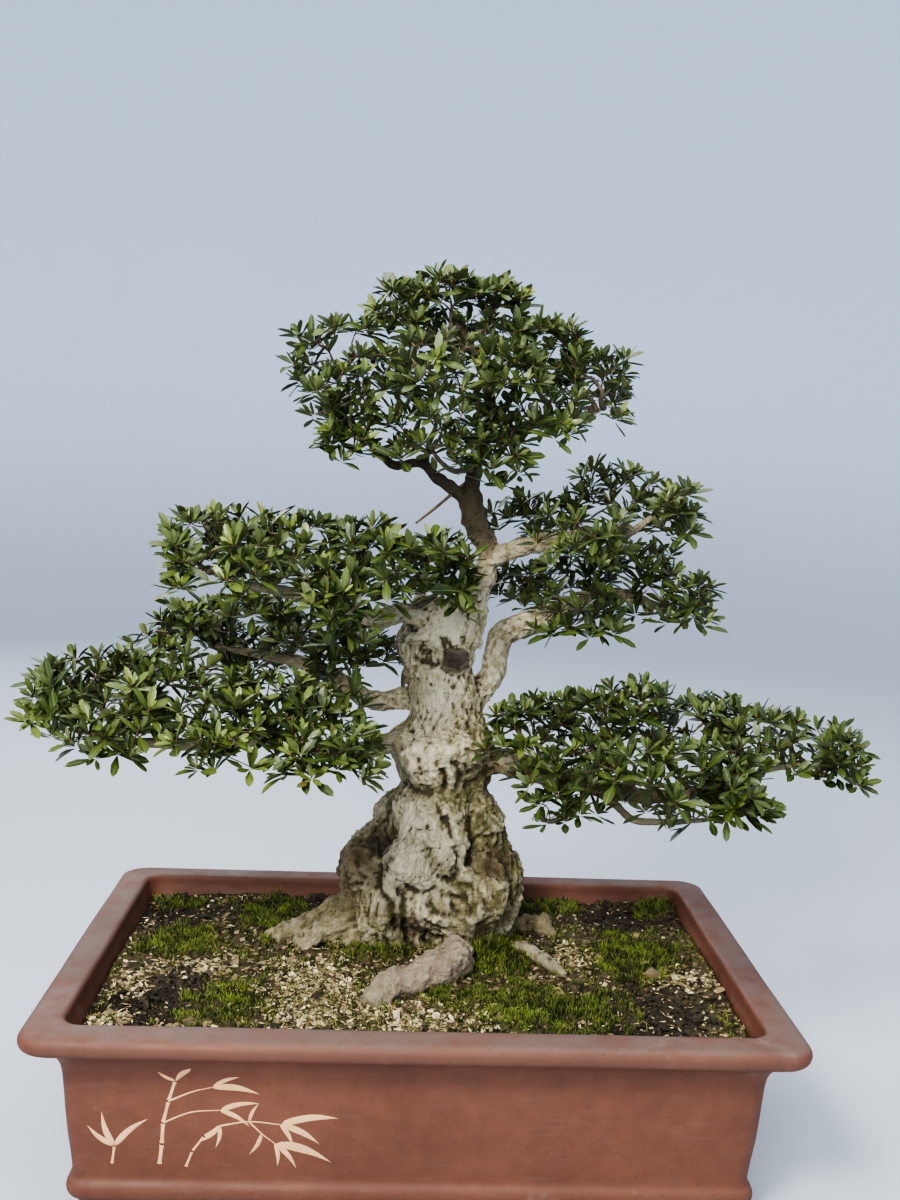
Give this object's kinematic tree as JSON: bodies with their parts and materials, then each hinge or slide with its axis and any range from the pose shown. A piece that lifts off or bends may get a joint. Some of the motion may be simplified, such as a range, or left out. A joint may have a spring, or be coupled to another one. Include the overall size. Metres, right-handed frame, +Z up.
{
  "type": "azalea bonsai in rectangular pot",
  "caption": "Broad-leaved azalea bonsai with a gnarled trunk, flared roots and tiered leafy pads, in a deep rectangular unglazed stoneware pot of soil.",
  "frame": {"origin": "on the table under the pot's feet, under the middle of the bounding box", "axes": "+X to the right along the pot's long side as seen from the tree's front, +Y from the front to the back, +Z up"},
  "size_m": [0.7722, 0.4, 0.7636],
  "materials": {
    "stoneware": "matte",
    "potting_soil": "matte",
    "screen": "matte",
    "bark": "matte",
    "leaves": "satin"
  },
  "bodies": {
    "root": {"pot": "stoneware", "soil": "potting_soil", "drain_screen_1": "screen", "drain_screen_2": "screen", "trunk_and_branches": "bark", "spray_crown_left_1": "leaves", "spray_crown_left_2": "leaves", "spray_crown_left_3": "leaves", "spray_crown_left_4": "leaves", "spray_crown_stem_1": "leaves", "spray_crown_stem_2": "leaves", "spray_crown_stem_3": "leaves", "spray_crown_stem_4": "leaves", "spray_crown_stem_5": "leaves", "spray_crown_stem_6": "leaves", "spray_crown_stem_7": "leaves", "spray_crown_stem_8": "leaves", "spray_crown_right_1": "leaves", "spray_crown_right_2": "leaves", "spray_crown_right_3": "leaves", "spray_crown_back_1": "leaves", "spray_left_upper_1": "leaves", "spray_left_upper_2": "leaves", "spray_left_upper_3": "leaves", "spray_left_upper_4": "leaves", "spray_left_upper_5": "leaves", "spray_left_upper_6": "leaves", "spray_left_upper_7": "leaves", "spray_left_middle_1": "leaves", "spray_left_middle_2": "leaves", "spray_left_middle_3": "leaves", "spray_left_middle_4": "leaves", "spray_left_middle_5": "leaves", "spray_left_lower_1": "leaves", "spray_left_lower_2": "leaves", "spray_left_lower_3": "leaves", "spray_left_lower_4": "leaves", "spray_left_lower_5": "leaves", "spray_left_lower_6": "leaves", "spray_left_lower_7": "leaves", "spray_left_lower_8": "leaves", "spray_right_upper_1": "leaves", "spray_right_upper_2": "leaves", "spray_right_upper_3": "leaves", "spray_right_upper_4": "leaves", "spray_right_middle_1": "leaves", "spray_right_middle_2": "leaves", "spray_right_middle_3": "leaves", "spray_right_middle_4": "leaves", "spray_right_middle_5": "leaves", "spray_right_lower_1": "leaves", "spray_right_lower_2": "leaves", "spray_right_lower_3": "leaves", "spray_right_lower_4": "leaves", "spray_right_lower_5": "leaves", "spray_right_lower_6": "leaves", "spray_right_lower_7": "leaves", "spray_right_lower_8": "leaves", "spray_right_lower_9": "leaves", "spray_right_lower_twig_1": "leaves"}
  },
  "joints": []
}
